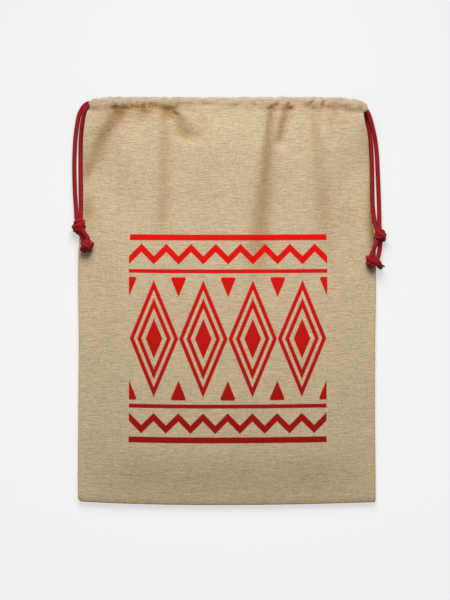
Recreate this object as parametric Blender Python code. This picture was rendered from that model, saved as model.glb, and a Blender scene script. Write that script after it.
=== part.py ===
# A burlap drawstring sack that lies flat on its back, with its mouth towards +Y.
# Two cloth panels meet at turned-in side and bottom seams. The top of each panel is turned
# over inside and stitched down as a channel. Two drawcords run through both channels, one
# from each side, and the strands of each are tied twice where they hang beside the sack.

import math
from collections import namedtuple

import bmesh
import bpy
import numpy as np
from mathutils import Vector

# Driving dimensions in millimetres. Each mesh is scaled to metres as it is made.
MM = 0.001
SACK_WIDTH = 300.0
SACK_HEIGHT = 410.0
CLOTH = 1.0  # thickness of the burlap
GAP = 0.3  # between pieces that touch
CORD = 4.4  # diameter of the drawcord
HEM_HEIGHT = 14.0  # from the rim down to the stitch line
ALLOWANCE = 8.0  # cloth turned in at the side and bottom seams
HEM_TAIL = 4.0  # turned-over cloth left below the stitch line
HEM_SAG = 0.3  # how far that cloth hangs away from the front panel
FULLNESS = 6.2  # how far the middle of the front stands above its edges
SIDE_SLOPE = 60.0  # over which the front comes down to a side seam
FOOT_SLOPE = 55.0  # and to the bottom seam
MOUTH_GAP = 4.8  # between the two channels in the middle of the mouth
MOUTH_GAP_AT_ENDS = 1.2
MOUTH_ENDS_AT = 134.0
MOUTH_SLOPE = 48.0
CHANNEL_RISE_IN_MIDDLE = 128.0  # where the front starts to rise to the channel
CHANNEL_RISE_AT_SIDE = 176.0

# Worked out from those
HALF_WIDTH = SACK_WIDTH / 2
RIM = SACK_HEIGHT / 2
STITCH = RIM - HEM_HEIGHT
LAYER = CLOTH + GAP  # from one cloth layer's middle to the next
FOLD = LAYER / 2  # radius of a turned-in edge
FOLD_PROUD = 0.7 * CLOTH  # how far a folded edge stands outside its middle line
LANE_RADIUS = CORD / 2 + GAP + CLOTH / 2 + 0.2  # channel wall's middle from a cord's centre
UPPER_LANE = RIM - CLOTH / 2 - LANE_RADIUS
LOWER_LANE = UPPER_LANE - CORD - 0.4
BACK_LANE = CLOTH / 2 + LANE_RADIUS  # height of the cords in the back channel
BACK_TOP = CLOTH + 2 * LANE_RADIUS  # top of the back channel
EDGE_HEIGHT = CLOTH / 2 + 3 * LAYER  # middle of the front cloth at the side seam
BURLAP = (0.50, 0.39, 0.24)
BURLAP_ROUGHNESS = 0.9
RED_CORD = (0.37, 0.010, 0.016)
CORD_ROUGHNESS = 0.8

# How far each side draws in from the full width at a height on the sack
Edge = namedtuple("Edge", "y left right")
EDGES = [
    Edge(-205.0, 0.0, 0.0),
    Edge(-100.0, 0.0, -0.5),
    Edge(30.0, 0.0, -0.4),
    Edge(50.0, 1.0, 0.7),
    Edge(62.0, 1.6, 1.7),
    Edge(76.0, 5.6, 3.6),
    Edge(92.0, 7.0, 6.1),
    Edge(130.0, 5.8, 6.5),
    Edge(153.0, 5.6, 7.2),
    Edge(171.0, 7.0, 9.7),
    Edge(183.0, 9.4, 12.0),
    Edge(187.0, 11.4, 13.0),
    Edge(191.0, 18.0, 14.6),
    Edge(194.8, 17.6, 13.4),
    Edge(196.6, 10.6, 7.8),
    Edge(200.0, 10.2, 8.6),
    Edge(205.0, 11.6, 12.2),
]
HEM_END = 124.0  # the turned-over cloth stops short of the channel's ends
CORNER_LEFT = 4.5
CORNER_RIGHT = 2.5

# The bottom edge bows down between its corners.
LOWEST_AT = -17.0
BOW_LEFT = 3.0
BOW_RIGHT = 2.0

# The channel's ends droop: how far, from how far out, and over what width
Droop = namedtuple("Droop", "down begins width")
DROOP_LEFT = Droop(1.0, 118.0, 20.0)
DROOP_RIGHT = Droop(3.0, 110.0, 32.0)

# Troughs that run down the front from the gathered channel; a negative depth is a ridge.
Trough = namedtuple("Trough", "x_top y_top x_mid y_mid x_low y_low depth wide_top wide_low")
TROUGHS = [
    Trough(-105.0, 192.0, -122.0, 162.0, -137.0, 122.0, 2.4, 10.0, 11.0),
    Trough(-61.0, 192.0, -64.0, 122.0, -67.0, 60.0, 2.0, 6.0, 9.0),
    Trough(-51.0, 192.0, -42.0, 178.0, -32.0, 160.0, 1.5, 5.0, 7.0),
    Trough(43.0, 192.0, 33.0, 82.0, 30.0, -6.0, 2.7, 5.5, 12.0),
    Trough(58.0, 192.0, 55.0, 186.0, 52.0, 168.0, 1.4, 5.0, 6.0),
    Trough(85.0, 192.0, 98.0, 102.0, 103.0, 8.0, 2.2, 10.0, 14.0),
    Trough(-20.0, 192.0, -22.0, 120.0, -24.0, 40.0, -0.9, 16.0, 22.0),
    Trough(68.0, 192.0, 70.0, 120.0, 68.0, 20.0, -0.9, 10.0, 18.0),
]
TROUGH_FADE = 0.35  # share of a trough's length over which its lower end fades out
TROUGH_SIDE_GAP = 3.0  # flat cloth between a trough and the side seam
TROUGH_SIDE_FADE = 12.0
TROUGH_TOP_FADE = 7.0
PUCKER = 0.9  # height of the channel's bulges between the troughs
DRAW_IN = 0.5  # how strongly the grid's lines crowd into a trough
DRAW_REACH = 14.0

# Grid lines of the cloth: where each lies, and on which layer
Line = namedtuple("Line", "kind at level")
EDGE_BAND = 5.0
FRONT_COLUMNS = 36
FRONT_ROWS = 23
FRONT_CROWDING = 0.15
BACK_COLUMNS = 16
BACK_ROWS = 11
BACK_CROWDING = 1.0
ROW_CROWDING = 1.4
CORNER_CUT = 0.05  # share of each seam left without allowance at the corners

# Routes of the free strands: points from the channel's end to the knot
LEFT_FRONT = [
    (-126.5, 196.1, 12.5),
    (-131.0, 195.7, 12.2),
    (-135.6, 194.9, 11.5),
    (-139.8, 192.6, 10.6),
    (-142.5, 188.6, 9.5),
    (-144.1, 183.0, 8.0),
    (-145.5, 175.0, 5.4),
    (-146.8, 165.0, 3.3),
    (-147.5, 154.0, 2.5),
    (-147.3, 132.0, 2.5),
    (-147.2, 110.0, 2.5),
    (-147.0, 97.0, 2.6),
    (-147.0, 83.4, 4.5),
]
LEFT_BACK = [
    (-126.5, 196.1, 3.7),
    (-131.0, 195.7, 3.7),
    (-136.5, 195.4, 3.7),
    (-142.0, 194.3, 3.5),
    (-146.4, 191.2, 3.2),
    (-149.1, 186.4, 2.8),
    (-150.8, 179.0, 2.5),
    (-151.8, 168.0, 2.5),
    (-153.0, 152.0, 2.5),
    (-153.6, 130.0, 2.5),
    (-153.0, 110.0, 2.5),
    (-152.2, 96.0, 2.7),
    (-151.8, 83.3, 4.2),
]
RIGHT_FRONT = [
    (126.5, 199.74, 12.5),
    (130.6, 199.15, 12.3),
    (134.9, 197.9, 11.9),
    (138.4, 194.8, 11.1),
    (141.0, 190.4, 10.5),
    (143.0, 185.6, 9.6),
    (145.2, 180.0, 8.2),
    (147.8, 171.0, 5.6),
    (150.2, 161.0, 3.4),
    (152.0, 151.0, 2.5),
    (153.2, 132.0, 2.5),
    (153.9, 110.0, 2.5),
    (154.3, 94.0, 2.8),
    (156.2, 73.2, 5.3),
]
RIGHT_BACK = [
    (126.6, 199.74, 3.7),
    (130.6, 199.15, 3.7),
    (134.7, 197.8, 3.7),
    (137.8, 194.7, 3.7),
    (139.7, 190.2, 3.5),
    (140.9, 185.0, 3.1),
    (142.0, 178.0, 2.7),
    (143.4, 170.0, 2.5),
    (145.2, 160.0, 2.5),
    (146.4, 150.0, 2.5),
    (146.8, 130.0, 2.5),
    (146.9, 108.0, 2.5),
    (147.5, 94.0, 2.8),
    (151.4, 72.6, 5.2),
]
TAIL_LEFT_UPPER = [(-145.7, 71.2, 10.5), (-142.7, 67.2, 11.3), (-140.1, 63.0, 11.6)]
TAIL_LEFT_LOWER = [(-148.6, 69.0, 7.5), (-146.0, 65.0, 7.7), (-143.2, 61.4, 8.0)]
TAIL_RIGHT_INNER = [(151.5, 60.0, 7.7), (147.8, 53.2, 8.4), (144.5, 45.8, 8.7)]
TAIL_RIGHT_OUTER = [(155.2, 59.0, 4.7), (154.6, 52.0, 4.0), (153.0, 44.0, 5.4)]
ROUTE_STEP = 2.0 * CORD

# Turns of the right and left cords inside the channels, where they double back
LEFT_CORD_TURNS_AT = 124.0
RIGHT_CORD_TURNS_AT = -134.5
RUN_ENDS_AT = 126.0

# Knots: middle, half sizes, the way its lobe stands out, and the way its frayed tips point
Knot = namedtuple("Knot", "name middle half lobe frayed")
KNOTS = [
    Knot("knot_left", (-148.8, 76.6, 6.6), (6.7, 6.9, 6.5), (-0.9, -0.3, -0.2), None),
    Knot("knot_right", (154.8, 66.0, 6.3), (6.0, 6.9, 6.3), (1.0, -0.3, 0.0), None),
    Knot("end_knot_left", (-140.9, 55.2, 11.2), (6.9, 6.7, 5.4), (0.8, 0.4, 0.0), None),
    Knot("end_knot_right", (147.4, 38.6, 9.8), (7.8, 6.3, 5.4), (-0.9, 0.4, 0.0), (0.75, -0.75, -0.2)),
]
KNOT_AROUND = 20
KNOT_DOWN = 12
TURN_HEIGHT = 0.26  # how far the cord's turns stand above the hollows between them
TURN_WIDTH = 0.40
TURN_AXES = [(0.25, 0.9, 0.35), (0.9, -0.2, 0.4), (-0.5, 0.35, 0.8)]
LOBE_HEIGHT = 0.16
LOBE_NARROWING = 4.0
FRAY_LENGTH = 4.0
FRAY_UNEVEN = 0.35
FRAY_TAPER = 0.55
FRAY_CONE = 0.86  # cosine of how far from the frayed side a tip may start
REST_GAP = 0.35  # between a knot and what it lies on
SETTLE = 0.6  # how softly a knot flattens there
EDGE_REACH = 2.5  # over which a knot comes down beside the sack's edge


def clear_scene():
    for thing in list(bpy.data.objects):
        bpy.data.objects.remove(thing)


def ease(share):
    share = min(max(share, 0.0), 1.0)
    return share * share * (3 - 2 * share)


def blend(low, high, share):
    return low + (high - low) * share


def bell(distance):
    return math.exp(-distance * distance)


def corner_inset(height, radius):
    """How far a rounded corner draws in at this height above the bottom edge."""
    if height >= radius:
        return 0.0
    rise = radius - max(height, 0.0)
    return radius - math.sqrt(radius * radius - rise * rise)


def outline(y):
    """The x of the cloth's left and right edge."""
    heights = [edge.y for edge in EDGES]
    left = -HALF_WIDTH + float(np.interp(y, heights, [edge.left for edge in EDGES]))
    right = HALF_WIDTH - float(np.interp(y, heights, [edge.right for edge in EDGES]))
    left += corner_inset(y + RIM - BOW_LEFT, CORNER_LEFT)
    right -= corner_inset(y + RIM - BOW_RIGHT, CORNER_RIGHT)
    return left, right


def bottom(x):
    """The y of the bottom fold's middle line."""
    if x < LOWEST_AT:
        bow = BOW_LEFT * ((x - LOWEST_AT) / (HALF_WIDTH + LOWEST_AT)) ** 2
    else:
        bow = BOW_RIGHT * ((x - LOWEST_AT) / (HALF_WIDTH - LOWEST_AT)) ** 2
    return FOLD_PROUD - RIM + bow


def droop(x):
    end = DROOP_LEFT if x < 0 else DROOP_RIGHT
    return end.down * ease((abs(x) - end.begins) / end.width)


def front_lane(x):
    """Height of the cords in the front channel, which arches over the mouth."""
    gap = blend(MOUTH_GAP_AT_ENDS, MOUTH_GAP, ease((MOUTH_ENDS_AT - abs(x)) / MOUTH_SLOPE))
    return BACK_TOP + gap + CLOTH / 2 + LANE_RADIUS


def trough_middle(trough, y):
    heights = [trough.y_low, trough.y_mid, trough.y_top]
    return float(np.interp(y, heights, [trough.x_low, trough.x_mid, trough.x_top]))


def trough_share(trough, y):
    """0 at the trough's lower end and 1 at its top."""
    return min(max((y - trough.y_low) / (trough.y_top - trough.y_low), 0.0), 1.0)


def front_height(x, y):
    """Height of the front cloth's middle surface below the stitch line."""
    left, right = outline(y)
    side = min(x - left, right - x)
    above = y - bottom(x)
    inside = ease(side / SIDE_SLOPE)
    height = EDGE_HEIGHT + FULLNESS * inside * ease(above / FOOT_SLOPE)
    stitch = STITCH - droop(x)
    rise_from = blend(CHANNEL_RISE_AT_SIDE, CHANNEL_RISE_IN_MIDDLE, inside)
    rise = ease((y - rise_from) / (stitch - rise_from))
    height = blend(height, front_lane(x) - LANE_RADIUS + LAYER, rise)
    fade = ease((side - TROUGH_SIDE_GAP) / TROUGH_SIDE_FADE) * ease((stitch - y) / TROUGH_TOP_FADE)
    for trough in TROUGHS:
        share = trough_share(trough, y)
        wide = blend(trough.wide_low, trough.wide_top, share)
        depth = trough.depth * ease(share / TROUGH_FADE) * fade
        height -= depth * bell((x - trough_middle(trough, y)) / wide)
    return height


def drawn_in(x, y):
    """Crowds the grid's lines into the troughs, where the cloth turns most."""
    moved = x
    for trough in TROUGHS:
        if trough.depth > 0:
            away = x - trough_middle(trough, y)
            pull = DRAW_IN * ease(trough_share(trough, y) / TROUGH_FADE)
            moved -= pull * away * bell(away / DRAW_REACH)
    return moved


def pucker(x):
    """The channel bulges between the troughs and is pinched where they start."""
    pinched = sum(bell((x - t.x_top) / t.wide_top) for t in TROUGHS if t.depth > 0)
    return PUCKER * (1 - min(pinched, 1.0))


def channel_loop():
    """The channel's section as (y, height above the cord lane), from its straight wall
    round the rim to its curved wall, which comes down on the straight one at the stitch."""
    loop = [(STITCH, -LANE_RADIUS), (LOWER_LANE, -LANE_RADIUS), (UPPER_LANE, -LANE_RADIUS)]
    for degrees in (36, 72, 108, 144):
        angle = math.radians(degrees)
        across = UPPER_LANE + LANE_RADIUS * math.sin(angle)
        loop.append((across, -LANE_RADIUS * math.cos(angle)))
    loop += [(UPPER_LANE, LANE_RADIUS), (LOWER_LANE, LANE_RADIUS)]
    for degrees in (36, 72, 105):
        angle = math.radians(degrees)
        across = LOWER_LANE - LANE_RADIUS * math.sin(angle)
        loop.append((across, LANE_RADIUS * math.cos(angle)))
    loop += [(STITCH + 1.4, LAYER - LANE_RADIUS), (STITCH, LAYER - LANE_RADIUS)]
    return loop


def edge_lines(side):
    """Grid lines at one edge, from the turned-in allowance round the fold to the outer cloth."""
    return [
        Line(side, ALLOWANCE, "turned"),
        Line(side, FOLD, "turned"),
        Line(side, 0.0, "fold"),
        Line(side, FOLD, "outer"),
    ]


def column_lines(count, crowding):
    """Lines across the panel. Crowding moves them towards the sides, where the edge curves."""
    shares = [i / count for i in range(count + 1)]
    crowded = [blend(share, (1 - math.cos(math.pi * share)) / 2, crowding) for share in shares]
    middle = [Line("share", share, "outer") for share in crowded]
    return edge_lines("left") + middle + edge_lines("right")[::-1]


def body_lines(count):
    """Rows from the bottom fold to below the stitch line, closer together towards the top."""
    rows = edge_lines("foot") + [Line("foot", CORNER_LEFT, "outer")]
    shares = [1 - (1 - i / count) ** ROW_CROWDING for i in range(1, count + 1)]
    return rows + [Line("body", share, "outer") for share in shares]


def column_x(column, y):
    left, right = outline(y)
    left += FOLD_PROUD
    right -= FOLD_PROUD
    if column.kind == "left":
        return left + column.at
    if column.kind == "right":
        return right - column.at
    return drawn_in(blend(left + EDGE_BAND, right - EDGE_BAND, column.at), y)


def body_point(column, row, height_at):
    """A point of the cloth below the stitch line. height_at gives the outer cloth's height."""
    level = row.at * (STITCH + RIM) - RIM if row.kind == "body" else row.at - RIM
    x = column_x(column, level)
    low = bottom(x)
    y = blend(low, STITCH - droop(x), row.at) if row.kind == "body" else low + row.at
    if column.kind in ("left", "right"):
        x = column_x(column, y)
    layers = {"outer": 0.0, "fold": 0.5, "turned": 1.0}
    inward = max(layers[column.level], layers[row.level]) * LAYER
    # Folded and turned-in cloth keeps the seam's own height.
    left, right = outline(y)
    near_x = left + FOLD_PROUD + FOLD
    far_x = right - FOLD_PROUD - FOLD
    if column.level != "outer":
        over_x = near_x if column.kind == "left" else far_x
    else:
        over_x = min(max(x, near_x), far_x)
    over_y = low + FOLD if row.level != "outer" else y
    return x, y, height_at(over_x, over_y, inward)


def channel_point(column, y, rise, hem, lane_at):
    """A point of the channel. hem is 0 on the outer wall and 1 on the turned-over one."""
    left, right = outline(y)
    if column.kind == "left":
        share = 0.0
    elif column.kind == "right":
        share = 1.0
    else:
        across = column_x(column, min(y, STITCH))
        ends = outline(min(y, STITCH))
        share = (across - ends[0]) / (ends[1] - ends[0])
    x = blend(blend(left, -HEM_END, hem), blend(right, HEM_END, hem), share)
    return x, y - droop(x), lane_at(x) + rise


def front_body_height(x, y, inward):
    return front_height(x, y) - inward


def back_body_height(x, y, inward):
    return CLOTH / 2 + inward


def panel_rows(count, loop):
    """Each row's line, with its y, rise and turned-over share if it belongs to the channel."""
    rows = [(line, None) for line in body_lines(count)]
    rim_turn = [i for i, (y, rise) in enumerate(loop) if y > UPPER_LANE + GAP]
    for i, (y, rise) in enumerate(loop[1:], 1):
        hem = min(max((i - rim_turn[0] + 1) / (len(rim_turn) + 1), 0.0), 1.0)
        rows.append((Line("channel", y, "outer"), (y, rise, hem)))
    return rows


def panel_points(columns, rows, height_at, lane_at, bulge_at, end_height_at):
    """The grid of points of one panel's middle surface, a list for each row."""
    grid = []
    for line, channel in rows:
        if channel is None:
            grid.append([body_point(column, line, height_at) for column in columns])
        else:
            y, rise, hem = channel
            points = []
            for column in columns:
                x, across, height = channel_point(column, y, rise, hem, lane_at)
                points.append((x, across, height + bulge_at(x, rise, hem)))
            grid.append(points)
    # The turned-over cloth ends a little below the stitch line.
    end = []
    for x, y, z in grid[-1]:
        y_end = y - HEM_TAIL
        end.append((x, y_end, end_height_at(x, y_end)))
    grid.append(end)
    return grid


def is_built(column, next_column, row, next_row):
    """Turned-in cloth runs along each seam and is cut away at the corners and the channel."""
    sides = {column.level, next_column.level}
    if next_row.kind == "channel":
        return sides == {"outer"}
    if "turned" in sides:
        return row.kind == "body" and row.at > CORNER_CUT and next_row.at < 1 - CORNER_CUT
    if "turned" in (row.level, next_row.level):
        return column.kind == "share" and column.at > CORNER_CUT and next_column.at < 1 - CORNER_CUT
    return True


def make_panel(name, columns, rows, grid):
    lines = [line for line, channel in rows] + [Line("channel", STITCH, "outer")]
    shape = bmesh.new()
    made = {}

    def vertex(j, i):
        if (j, i) not in made:
            made[j, i] = shape.verts.new(Vector(grid[j][i]) * MM)
        return made[j, i]

    for j in range(len(lines) - 1):
        for i in range(len(columns) - 1):
            if is_built(columns[i], columns[i + 1], lines[j], lines[j + 1]):
                corners = [(j, i), (j, i + 1), (j + 1, i + 1), (j + 1, i)]
                shape.faces.new([vertex(*corner) for corner in corners])
    mesh = bpy.data.meshes.new(name)
    shape.to_mesh(mesh)
    shape.free()
    mesh.shade_smooth()
    panel = bpy.data.objects.new(name, mesh)
    bpy.context.scene.collection.objects.link(panel)
    thick = panel.modifiers.new("thickness", "SOLIDIFY")
    thick.thickness = CLOTH * MM
    thick.offset = 0.0
    thick.use_even_offset = True
    thick.use_quality_normals = True
    return panel


def front_panel():
    columns = column_lines(FRONT_COLUMNS, FRONT_CROWDING)
    rows = panel_rows(FRONT_ROWS, channel_loop()[::-1])

    def bulge(x, rise, hem):
        return pucker(x) * ease(rise / LANE_RADIUS) if hem == 0 else 0.0

    def end_height(x, y):
        return front_height(x, y) - LAYER - HEM_SAG

    grid = panel_points(columns, rows, front_body_height, front_lane, bulge, end_height)
    return make_panel("front_panel", columns, rows, grid)


def back_panel():
    columns = column_lines(BACK_COLUMNS, BACK_CROWDING)
    rows = panel_rows(BACK_ROWS, channel_loop())

    def lane(x):
        return BACK_LANE

    def bulge(x, rise, hem):
        return 0.0

    def end_height(x, y):
        return CLOTH / 2 + LAYER

    grid = panel_points(columns, rows, back_body_height, lane, bulge, end_height)
    return make_panel("back_panel", columns, rows, grid)


def smooth_route(points):
    """Points every ROUTE_STEP along a smooth curve through the route's own points."""
    knots = [Vector(point) for point in points]
    knots = [2 * knots[0] - knots[1]] + knots + [2 * knots[-1] - knots[-2]]
    fine = []
    for before, start, end, after in zip(knots, knots[1:], knots[2:], knots[3:]):
        for k in range(20):
            t = k / 20
            bend = 2 * before - 5 * start + 4 * end - after
            curl = 3 * start - 3 * end + after - before
            fine.append(start + 0.5 * t * (end - before + t * (bend + t * curl)))
    fine.append(knots[-2])
    lengths = [0.0]
    for a, b in zip(fine, fine[1:]):
        lengths.append(lengths[-1] + (b - a).length)
    count = max(2, round(lengths[-1] / ROUTE_STEP))
    at = np.linspace(0.0, lengths[-1], count + 1)
    axes = [np.interp(at, lengths, [point[axis] for point in fine]) for axis in range(3)]
    return [Vector(place) for place in zip(*axes)]


def make_cord(name, points):
    curve = bpy.data.curves.new(name, "CURVE")
    curve.dimensions = "3D"
    curve.bevel_depth = CORD / 2 * MM
    curve.bevel_resolution = 2
    curve.use_fill_caps = True
    spline = curve.splines.new("POLY")
    spline.points.add(len(points) - 1)
    for target, point in zip(spline.points, points):
        target.co = (*(Vector(point) * MM), 1.0)
    cord = bpy.data.objects.new(name, curve)
    bpy.context.scene.collection.objects.link(cord)
    return cord


def run_route(start, turn, lane_y):
    """Through the front channel, round a half circle at its end and back through the other."""
    way = 1 if turn > start else -1
    steps = round(abs(turn - start) / (2.8 * CORD))
    outward = [blend(start, turn, k / steps) for k in range(steps + 1)]
    route = [(x, lane_y - droop(x), front_lane(x)) for x in outward]
    middle = (front_lane(turn) + BACK_LANE) / 2
    radius = front_lane(turn) - middle
    for degrees in (30, 60, 90, 120, 150):
        angle = math.radians(degrees)
        x = turn + way * radius * math.sin(angle)
        route.append((x, lane_y - droop(x), middle + radius * math.cos(angle)))
    return route + [(x, lane_y - droop(x), BACK_LANE) for x in outward[::-1]]


def cords():
    return [
        make_cord("cord_left_run", run_route(-RUN_ENDS_AT, LEFT_CORD_TURNS_AT, LOWER_LANE)),
        make_cord("cord_right_run", run_route(RUN_ENDS_AT, RIGHT_CORD_TURNS_AT, UPPER_LANE)),
        make_cord("cord_left_front", smooth_route(LEFT_FRONT)),
        make_cord("cord_left_back", smooth_route(LEFT_BACK)),
        make_cord("cord_right_front", smooth_route(RIGHT_FRONT)),
        make_cord("cord_right_back", smooth_route(RIGHT_BACK)),
        make_cord("tail_left_upper", smooth_route(TAIL_LEFT_UPPER)),
        make_cord("tail_left_lower", smooth_route(TAIL_LEFT_LOWER)),
        make_cord("tail_right_inner", smooth_route(TAIL_RIGHT_INNER)),
        make_cord("tail_right_outer", smooth_route(TAIL_RIGHT_OUTER)),
    ]


def rest_height(x, y):
    """The lowest that a knot may reach here: on the surface, or on the sack's front."""
    left, right = outline(y)
    outside = max(left - x, x - right)
    inner = min(max(x, left + 1.0), right - 1.0)
    on_cloth = front_height(inner, y) + CLOTH / 2 + REST_GAP
    return blend(on_cloth, REST_GAP, min(max((outside - 0.6) / EDGE_REACH, 0.0), 1.0))


def settled(z, lowest):
    """Eases a height off as it comes down to the lowest one."""
    return lowest + SETTLE * math.log1p(math.exp((z - lowest) / SETTLE))


def fray(shape, out, length):
    """Draws the ball's faces on one side out as separate tips of uneven length."""
    tips = [f for f in shape.faces if f.calc_center_median().normalized().dot(out) > FRAY_CONE]
    for face in bmesh.ops.extrude_discrete_faces(shape, faces=tips)["faces"]:
        middle = face.calc_center_median()
        uneven = 1 + FRAY_UNEVEN * math.sin(7 * face.index)
        for corner in face.verts:
            corner.co = middle + (corner.co - middle) * FRAY_TAPER + out * length * uneven


def make_knot(knot):
    """A ball with raised turns of cord round it, which settles on what lies under it."""
    shape = bmesh.new()
    bmesh.ops.create_uvsphere(shape, u_segments=KNOT_AROUND, v_segments=KNOT_DOWN, radius=1.0)
    turns = [Vector(axis).normalized() for axis in TURN_AXES]
    lobe = Vector(knot.lobe).normalized()
    if knot.frayed:
        fray(shape, Vector(knot.frayed).normalized(), FRAY_LENGTH / knot.half[0])
    for vertex in shape.verts:
        way = vertex.co.normalized()
        on_turn = max(max(0.0, 1 - (way.dot(turn) / TURN_WIDTH) ** 2) for turn in turns)
        swell = 1 - TURN_HEIGHT * (1 - math.sqrt(on_turn))
        swell += LOBE_HEIGHT * max(0.0, 1 - LOBE_NARROWING * (1 - way.dot(lobe)))
        stretched = [vertex.co[axis] * swell * knot.half[axis] for axis in range(3)]
        x, y, z = Vector(knot.middle) + Vector(stretched)
        vertex.co = Vector((x, y, settled(z, rest_height(x, y)))) * MM
    mesh = bpy.data.meshes.new(knot.name)
    shape.to_mesh(mesh)
    shape.free()
    mesh.shade_smooth()
    ball = bpy.data.objects.new(knot.name, mesh)
    bpy.context.scene.collection.objects.link(ball)
    return ball


def give_material(things, name, colour, roughness):
    for thing in things:
        material = bpy.data.materials.new(f"{thing.name}_{name}")
        material.use_nodes = True
        shader = material.node_tree.nodes["Principled BSDF"]
        shader.inputs["Base Color"].default_value = (*colour, 1.0)
        shader.inputs["Roughness"].default_value = roughness
        shader.inputs["Metallic"].default_value = 0.0
        thing.data.materials.append(material)


clear_scene()
give_material([front_panel(), back_panel()], "burlap", BURLAP, BURLAP_ROUGHNESS)
give_material(cords(), "red", RED_CORD, CORD_ROUGHNESS)
give_material([make_knot(knot) for knot in KNOTS], "red", RED_CORD, CORD_ROUGHNESS)
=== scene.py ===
import math
from collections import namedtuple

import bmesh
import bpy
import numpy as np
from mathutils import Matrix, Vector, noise
from mathutils.bvhtree import BVHTree


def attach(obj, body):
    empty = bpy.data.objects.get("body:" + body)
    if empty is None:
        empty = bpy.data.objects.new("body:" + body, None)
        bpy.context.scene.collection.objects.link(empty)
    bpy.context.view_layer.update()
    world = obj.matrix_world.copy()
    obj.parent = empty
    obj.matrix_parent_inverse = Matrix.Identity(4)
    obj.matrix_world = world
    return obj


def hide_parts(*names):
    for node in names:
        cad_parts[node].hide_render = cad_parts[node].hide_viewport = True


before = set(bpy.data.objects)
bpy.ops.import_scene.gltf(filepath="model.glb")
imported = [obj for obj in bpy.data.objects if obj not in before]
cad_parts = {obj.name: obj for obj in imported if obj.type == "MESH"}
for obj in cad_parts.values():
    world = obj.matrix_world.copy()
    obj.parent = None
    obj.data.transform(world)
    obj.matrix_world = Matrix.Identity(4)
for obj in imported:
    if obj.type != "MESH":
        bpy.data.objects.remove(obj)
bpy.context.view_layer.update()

mm = 0.001
scene = bpy.context.scene
print("frame loaded:", len(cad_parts), "nodes")


# camera, straight above the sack, with a long lens
cameraSettings = {
    "height": 3.0, "viewHeight": 0.604, "aim": (-0.0020, 0.0009, 0.008), "sensor": 36.0,
    "farthest": 20.0,
}


def placeObject(name, data, at=(0, 0, 0)):
    thing = bpy.data.objects.new(name, data)
    thing.location = at
    scene.collection.objects.link(thing)
    return thing


def makeCamera(s):
    data = bpy.data.cameras.new("camera")
    data.sensor_width = s["sensor"]
    data.lens = s["sensor"] * (s["height"] - s["aim"][2]) / s["viewHeight"]
    data.clip_end = s["farthest"]
    scene.camera = placeObject("camera", data, (s["aim"][0], s["aim"][1], s["height"]))


makeCamera(cameraSettings)
print("camera done")


def ease(share):
    share = min(max(share, 0.0), 1.0)
    return share * share * (3 - 2 * share)


def blend(low, high, share):
    return low + (high - low) * share


def bell(distance):
    return math.exp(-distance * distance)


# shader maths: a socket that can be added, multiplied and so on
class Wire:
    def __init__(self, tree, socket=None):
        self.tree = tree
        self.socket = socket

    def node(self, kind, settings, values, output=0):
        made = self.tree.nodes.new(kind)
        for name, value in settings.items():
            setattr(made, name, value)
        for name, value in values.items():
            if isinstance(value, Wire):
                self.tree.links.new(value.socket, made.inputs[name])
            else:
                made.inputs[name].default_value = value
        return Wire(self.tree, made.outputs[output])

    def math(self, operation, *others, clamp=False):
        values = dict(enumerate([self, *others]))
        return self.node("ShaderNodeMath", {"operation": operation, "use_clamp": clamp}, values)

    def __add__(self, other):
        return self.math("ADD", other)

    def __sub__(self, other):
        return self.math("SUBTRACT", other)

    def __mul__(self, other):
        return self.math("MULTIPLY", other)

    def __rsub__(self, other):
        return self * -1.0 + other

    __radd__ = __add__
    __rmul__ = __mul__

    def __abs__(self):
        return self.math("ABSOLUTE")

    def sin(self):
        return self.math("SINE")

    def floor(self):
        return self.math("FLOOR")

    def clip(self):
        return self.math("ADD", 0.0, clamp=True)

    # 1 where the wire is under the limit, with a soft edge
    def under(self, limit, soft):
        return ((limit - self) * (1 / soft) + 0.5).clip()

    def union(self, *others):
        for other in others:
            self = self.math("MAXIMUM", other)
        return self

    def split(self):
        made = self.node("ShaderNodeSeparateXYZ", {}, {0: self}).socket.node
        return [Wire(self.tree, out) for out in made.outputs]

    def join(self, y, z=0.0):
        return self.node("ShaderNodeCombineXYZ", {}, {0: self, 1: y, 2: z})

    def noise(self, scale, detail=0.0, rough=0.5):
        values = {"Vector": self, "Scale": scale, "Detail": detail, "Roughness": rough}
        return self.node("ShaderNodeTexNoise", {"noise_dimensions": "2D"}, values)

    # the first colour where this wire is 0, the second where it is 1
    def mixColour(self, first, second):
        values = {0: self, 6: first, 7: second}
        return self.node("ShaderNodeMix", {"data_type": "RGBA"}, values, 2)

    # a colour made lighter or darker by this wire
    def shade(self, colour):
        grey = self.node("ShaderNodeCombineColor", {}, {0: self, 1: self, 2: self})
        settings = {"data_type": "RGBA", "blend_type": "MULTIPLY"}
        return self.node("ShaderNodeMix", settings, {0: 1.0, 6: colour, 7: grey}, 2)


def startMaterial(name, roughness, sheen=0.0, specular=0.1):
    material = bpy.data.materials.new(name)
    material.use_nodes = True
    shader = material.node_tree.nodes["Principled BSDF"]
    shader.inputs["Roughness"].default_value = roughness
    shader.inputs["Specular IOR Level"].default_value = specular
    shader.inputs["Sheen Weight"].default_value = sheen
    return material, shader, Wire(material.node_tree)


def attribute(wire, name, output="Vector"):
    return wire.node("ShaderNodeAttribute", {"attribute_name": name}, {}, output)


# plain weave of two thread phases: how high the thread on top stands, from 0 to 1
def woven(a, b):
    sa = (a * math.pi).sin()
    sb = (b * math.pi).sin()
    first = (abs(sa) + sa * sb) * 0.5
    second = (abs(sb) - sa * sb) * 0.5
    return first.union(second)


# how dark one thread of a row is along its length
def threadTone(along, row, s):
    place = (along * s["stretch"]).join(row * s["gap"] + s["seed"])
    return place.noise(1.0, *s["noise"]) - 0.5


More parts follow.
